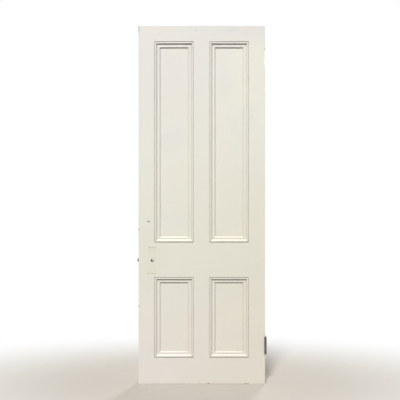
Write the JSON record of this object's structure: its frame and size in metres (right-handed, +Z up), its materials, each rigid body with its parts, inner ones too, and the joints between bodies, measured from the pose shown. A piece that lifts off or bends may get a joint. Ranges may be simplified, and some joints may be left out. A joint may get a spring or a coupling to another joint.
{
  "type": "four-panel door",
  "caption": "Painted softwood panel door off its frame, with planted mouldings, a tubular latch and a butt hinge; the upper hinge and handles are missing.",
  "frame": {"origin": "middle of the bottom edge, half way through the thickness", "axes": "+X towards the hanging edge, -Y out of the front face seen in the picture, +Z up"},
  "size_m": [0.7722, 0.056, 2.14],
  "materials": {
    "painted_wood": "old off-white oil paint, satin, with chips and rubs",
    "hinge_iron": "dull dark grey, worn",
    "latch_steel": "dulled steel",
    "screw_steel": "dark steel"
  },
  "bodies": {
    "hinge_on_frame": {"hinge_frame_leaf": "hinge_iron", "hinge_pin": "hinge_iron"},
    "door": {"lock_stile": "painted_wood", "hanging_stile": "painted_wood", "top_rail": "painted_wood", "lock_rail": "painted_wood", "bottom_rail": "painted_wood", "upper_muntin": "painted_wood", "lower_muntin": "painted_wood", "upper_left_panel": "painted_wood", "upper_right_panel": "painted_wood", "lower_left_panel": "painted_wood", "lower_right_panel": "painted_wood", "upper_left_front_moulding_bottom": "painted_wood", "upper_left_front_moulding_right": "painted_wood", "upper_left_front_moulding_top": "painted_wood", "upper_left_front_moulding_left": "painted_wood", "upper_left_back_moulding_bottom": "painted_wood", "upper_left_back_moulding_right": "painted_wood", "upper_left_back_moulding_top": "painted_wood", "upper_left_back_moulding_left": "painted_wood", "upper_right_front_moulding_bottom": "painted_wood", "upper_right_front_moulding_right": "painted_wood", "upper_right_front_moulding_top": "painted_wood", "upper_right_front_moulding_left": "painted_wood", "upper_right_back_moulding_bottom": "painted_wood", "upper_right_back_moulding_right": "painted_wood", "upper_right_back_moulding_top": "painted_wood", "upper_right_back_moulding_left": "painted_wood", "lower_left_front_moulding_bottom": "painted_wood", "lower_left_front_moulding_right": "painted_wood", "lower_left_front_moulding_top": "painted_wood", "lower_left_front_moulding_left": "painted_wood", "lower_left_back_moulding_bottom": "painted_wood", "lower_left_back_moulding_right": "painted_wood", "lower_left_back_moulding_top": "painted_wood", "lower_left_back_moulding_left": "painted_wood", "lower_right_front_moulding_bottom": "painted_wood", "lower_right_front_moulding_right": "painted_wood", "lower_right_front_moulding_top": "painted_wood", "lower_right_front_moulding_left": "painted_wood", "lower_right_back_moulding_bottom": "painted_wood", "lower_right_back_moulding_right": "painted_wood", "lower_right_back_moulding_top": "painted_wood", "lower_right_back_moulding_left": "painted_wood", "tenon_wedges": "painted_wood", "latch_forend": "latch_steel", "latch_case": "latch_steel", "latch_cover": "latch_steel", "latch_spring": "latch_steel", "latch_forend_screws": "screw_steel", "hinge_screws": "screw_steel", "hinge_door_leaf": "hinge_iron"},
    "bolt": {"latch_bolt": "latch_steel"},
    "follower": {"latch_follower": "latch_steel"}
  },
  "joints": [
    {"name": "door_swing", "type": "hinge", "parent": "hinge_on_frame", "child": "door", "pos_m": [0.3795, -0.02825, 0], "axis": [0, 0, 1], "range_deg": [0, 180]},
    {"name": "spindle_turn", "type": "hinge", "parent": "door", "child": "follower", "pos_m": [-0.296, 0, 0.7386], "axis": [0, 1, 0], "range_deg": [0, 48]},
    {"name": "bolt_slide", "type": "slide", "parent": "door", "child": "bolt", "axis": [1, 0, 0], "range_m": [0, 0.0078], "stiffness_N_per_m": 350, "springref_m": -0.012, "deforming": ["latch_spring"]}
  ],
  "couplings": [
    {"joint": "spindle_turn", "follows": "bolt_slide", "rad_per_m": 107.3}
  ]
}
